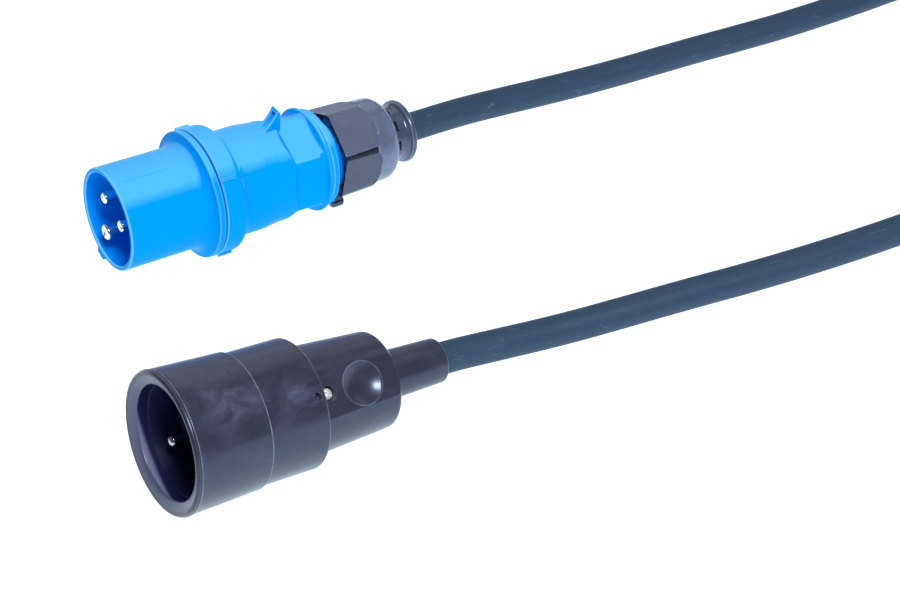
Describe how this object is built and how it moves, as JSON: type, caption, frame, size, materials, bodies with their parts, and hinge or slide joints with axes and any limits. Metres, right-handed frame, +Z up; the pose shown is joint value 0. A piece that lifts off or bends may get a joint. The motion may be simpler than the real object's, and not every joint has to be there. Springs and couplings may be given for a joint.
{
  "type": "power adapter cable",
  "caption": "Mains adapter lead with a blue round industrial plug, a black rubber trailing socket with a male earth pin, and a coiled rubber cable between them.",
  "frame": {"origin": "on the floor under the middle of the two connectors", "axes": "+Z up, +X from the mouths towards the cable, +Y from the socket towards the plug"},
  "size_m": [0.6299, 0.2294, 0.0641],
  "materials": {
    "blue_plastic": "satin",
    "black_plastic": "matte",
    "grey_plastic": "matte",
    "white_plastic": "matte",
    "insert_plastic": "matte",
    "tie_plastic": "matte",
    "black_rubber": "satin",
    "cable_rubber": "matte",
    "nickel": "polished",
    "brass": "polished",
    "brown_core": "matte",
    "blue_core": "matte",
    "green_yellow_core": "matte"
  },
  "bodies": {
    "lead": {"plug_shroud": "blue_plastic", "plug_housing": "blue_plastic", "line_pin": "nickel", "neutral_pin": "nickel", "earth_pin": "brass", "pin_retainer": "white_plastic", "plug_terminal_screws": "nickel", "gland_seal": "black_rubber", "gland_clamp": "grey_plastic", "plug_line_core": "brown_core", "plug_neutral_core": "blue_core", "plug_earth_core": "green_yellow_core", "socket_hood": "black_rubber", "socket_insert": "insert_plastic", "socket_earth_pin": "nickel", "socket_line_contact": "nickel", "socket_neutral_contact": "nickel", "socket_terminal_screws": "nickel", "socket_handle": "black_rubber", "socket_fixing_screws": "nickel", "cord_clamp_bar": "insert_plastic", "cord_clamp_screws": "nickel", "socket_line_core": "brown_core", "socket_neutral_core": "blue_core", "socket_earth_core": "green_yellow_core", "cable_plug_run": "cable_rubber", "cable_coil": "cable_rubber", "cable_socket_run": "cable_rubber", "coil_tie": "tie_plastic"},
    "sleeve": {"bell_mouth_sleeve": "black_plastic"},
    "nut": {"gland_nut": "black_plastic"}
  },
  "joints": [
    {"name": "gland_travel", "type": "slide", "parent": "lead", "child": "sleeve", "axis": [0.9951, 0, -0.0992], "range_m": [0, 0.012]},
    {"name": "gland_turn", "type": "hinge", "parent": "sleeve", "child": "nut", "pos_m": [0.064, 0.06735, 0.02212], "axis": [0.9951, 0, -0.0992], "range_deg": [0, 1440]}
  ],
  "couplings": [
    {"joint": "gland_travel", "follows": "gland_turn", "m_per_rad": 0.00047746}
  ]
}
